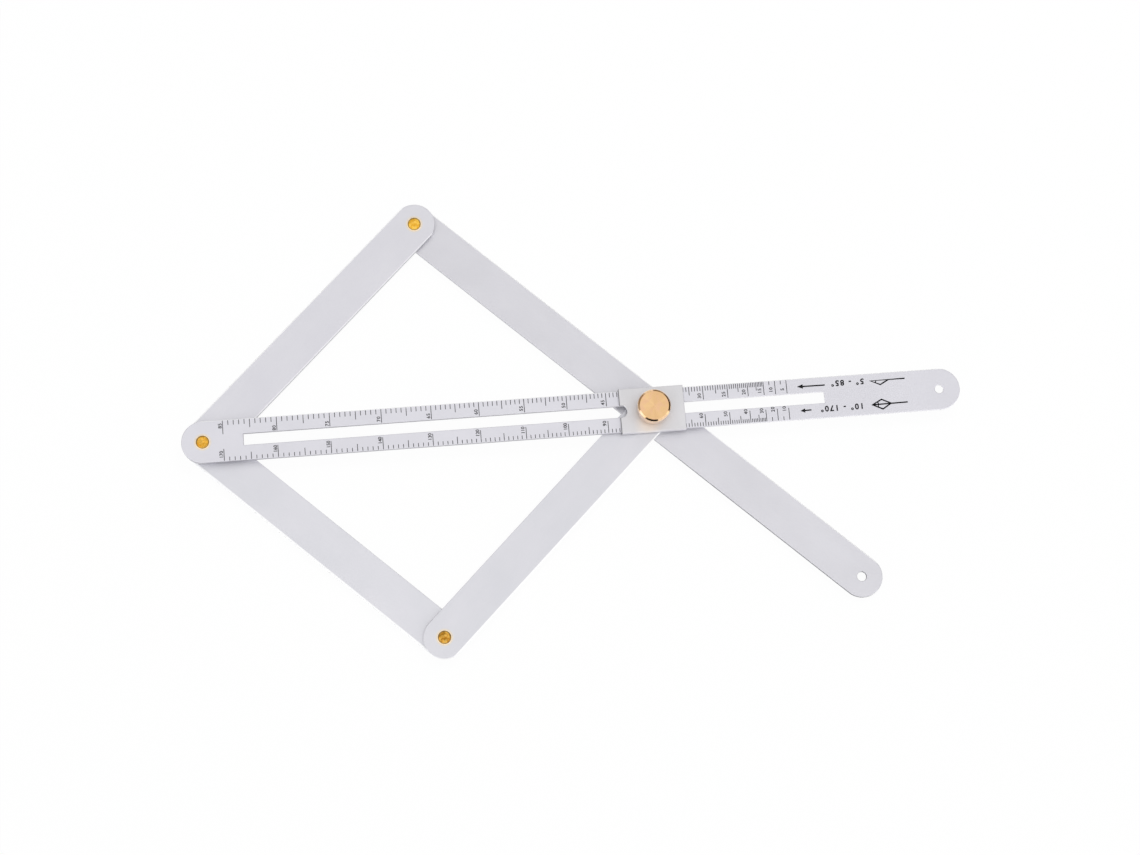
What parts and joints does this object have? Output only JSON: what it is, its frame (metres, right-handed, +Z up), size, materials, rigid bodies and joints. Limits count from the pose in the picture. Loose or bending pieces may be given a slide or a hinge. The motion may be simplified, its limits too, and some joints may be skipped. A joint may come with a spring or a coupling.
{
  "type": "angle finder with arms",
  "caption": "Flat metal angle finder: four arms pinned in a rhombus fold along a slotted ruler, where a slider with a thumb knob reads and clamps the angle.",
  "frame": {"origin": "on the surface that the tool lies on, under the middle of the ruler, which is also the middle of the whole tool's box at rest", "axes": "+X along the ruler, from its riveted end to its hanging hole; +Z up, out of the face with the scale and the knob; +Y to the side of the arm that the long arm hangs on"},
  "size_m": [0.3756, 0.223, 0.0176],
  "materials": {
    "ruler_aluminium": "satin",
    "arm_aluminium": "satin",
    "slider_aluminium": "satin",
    "rivet_brass": "hammered, bright",
    "knob_brass": "turned and polished",
    "stud_steel": "plated",
    "washer_nylon": "matt",
    "mark_ink": "filled engraving"
  },
  "bodies": {
    "ruler": {"scale_ruler": "ruler_aluminium", "ruler_rivet": "rivet_brass"},
    "upper_arm": {"upper_arm": "arm_aluminium", "upper_rivet": "rivet_brass", "upper_washer": "washer_nylon", "ruler_washer_top": "washer_nylon"},
    "lower_arm": {"lower_arm": "arm_aluminium", "ruler_washer_bottom": "washer_nylon"},
    "short_arm": {"short_arm": "arm_aluminium", "lower_rivet": "rivet_brass", "lower_washer": "washer_nylon"},
    "long_arm": {"long_arm": "arm_aluminium"},
    "slider": {"slider": "slider_aluminium", "slider_stud": "stud_steel", "stud_washer_top": "washer_nylon", "stud_washer_bottom": "washer_nylon"},
    "knob_washer": {"knob_washer": "stud_steel"},
    "thumb_knob": {"thumb_knob": "knob_brass"}
  },
  "joints": [
    {"name": "fold", "type": "hinge", "parent": "ruler", "child": "upper_arm", "pos_m": [-0.1777, 0, 0], "axis": [0, 0, 1], "range_deg": [-38, 42.2]},
    {"name": "long_arm_pivot", "type": "hinge", "parent": "upper_arm", "child": "long_arm", "pos_m": [-0.06999, 0.1015, 0], "axis": [0, 0, 1], "range_deg": [-84.4, 76]},
    {"name": "slider_pivot", "type": "hinge", "parent": "long_arm", "child": "slider", "pos_m": [0.03772, 0, 0], "axis": [0, 0, 1], "range_deg": [-38, 42.2]},
    {"name": "lower_arm_pivot", "type": "hinge", "parent": "ruler", "child": "lower_arm", "pos_m": [-0.1777, 0, 0], "axis": [0, 0, 1], "range_deg": [-42.2, 38]},
    {"name": "short_arm_pivot", "type": "hinge", "parent": "lower_arm", "child": "short_arm", "pos_m": [-0.06999, -0.1015, 0], "axis": [0, 0, 1], "range_deg": [-76, 84.4]},
    {"name": "knob_lift", "type": "slide", "parent": "slider", "child": "knob_washer", "axis": [0, 0, 1], "range_m": [0, 0.0016]},
    {"name": "knob_turn", "type": "hinge", "parent": "knob_washer", "child": "thumb_knob", "pos_m": [0.03772, 0, 0], "axis": [0, 0, 1], "range_deg": [0, 720]}
  ],
  "couplings": [
    {"joint": "long_arm_pivot", "follows": "fold", "ratio": -2},
    {"joint": "slider_pivot", "follows": "fold", "ratio": 1},
    {"joint": "lower_arm_pivot", "follows": "fold", "ratio": -1},
    {"joint": "short_arm_pivot", "follows": "fold", "ratio": 2},
    {"joint": "knob_lift", "follows": "knob_turn", "m_per_rad": 0.00012732}
  ]
}
